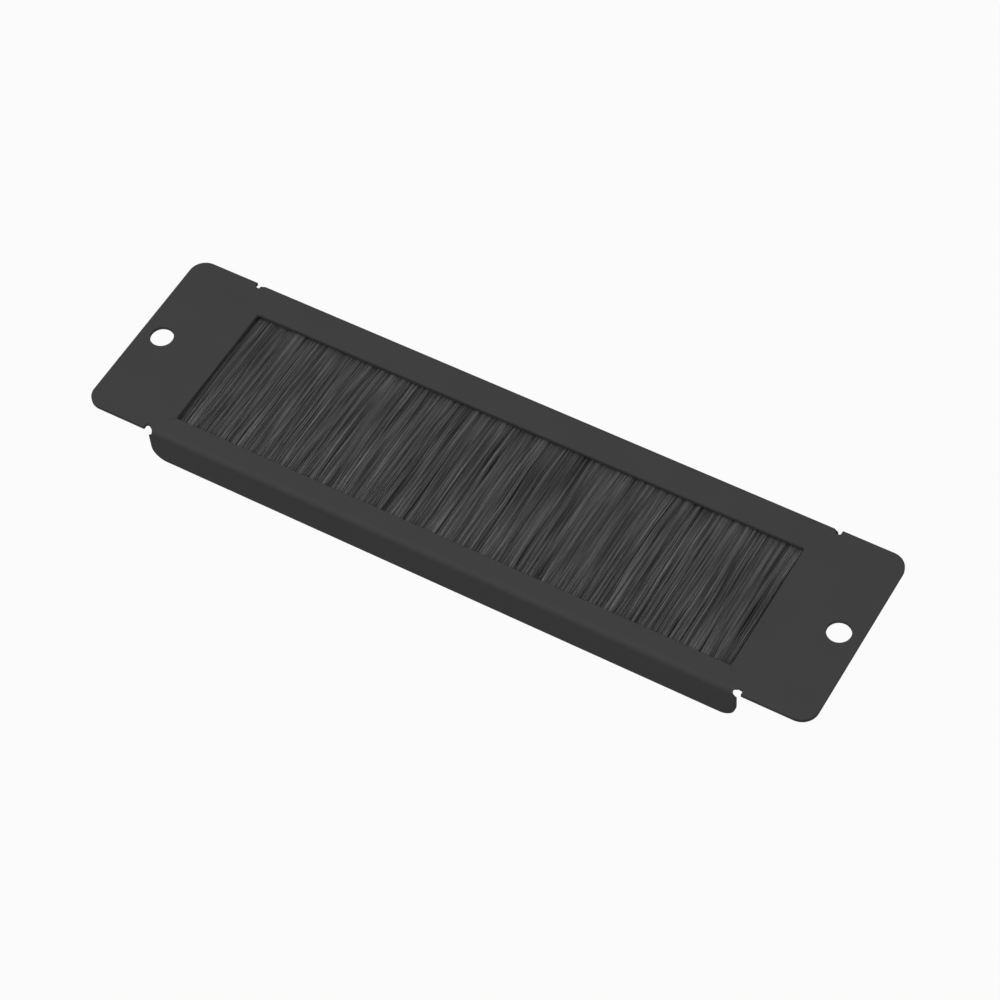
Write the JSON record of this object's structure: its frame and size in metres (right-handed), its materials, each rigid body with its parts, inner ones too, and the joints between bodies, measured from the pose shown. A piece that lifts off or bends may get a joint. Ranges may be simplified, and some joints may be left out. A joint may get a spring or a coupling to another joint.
{
  "type": "rack brush strip panel",
  "caption": "Folded steel panel with a long window closed by a strip brush, so that cables pass and dust stays out, with a screw hole in each ear.",
  "frame": {"origin": "midway between the two ear holes, on the ears' underside, which bears on the cabinet", "axes": "+X along the panel, +Y from the front flange to the back flange, which carries the rivets, +Z out of the panel's face"},
  "size_m": [0.2324, 0.062, 0.0125],
  "materials": {
    "powder_coated_steel": "matt black powder coat on steel sheet",
    "galvanised_steel": "plain galvanised",
    "drawn_wire": "drawn, uncoated",
    "nylon_filaments": "black filaments with a slight sheen",
    "rivet_aluminium": "plain"
  },
  "bodies": {
    "root": {"mounting_plate": "powder_coated_steel", "brush_channel": "galvanised_steel", "core_wire": "drawn_wire", "brush_filaments": "nylon_filaments", "keeper_angle": "galvanised_steel", "rivet_1": "rivet_aluminium", "rivet_2": "rivet_aluminium", "rivet_3": "rivet_aluminium", "rivet_4": "rivet_aluminium", "rivet_stem_1": "drawn_wire", "rivet_stem_2": "drawn_wire", "rivet_stem_3": "drawn_wire", "rivet_stem_4": "drawn_wire"}
  },
  "joints": []
}
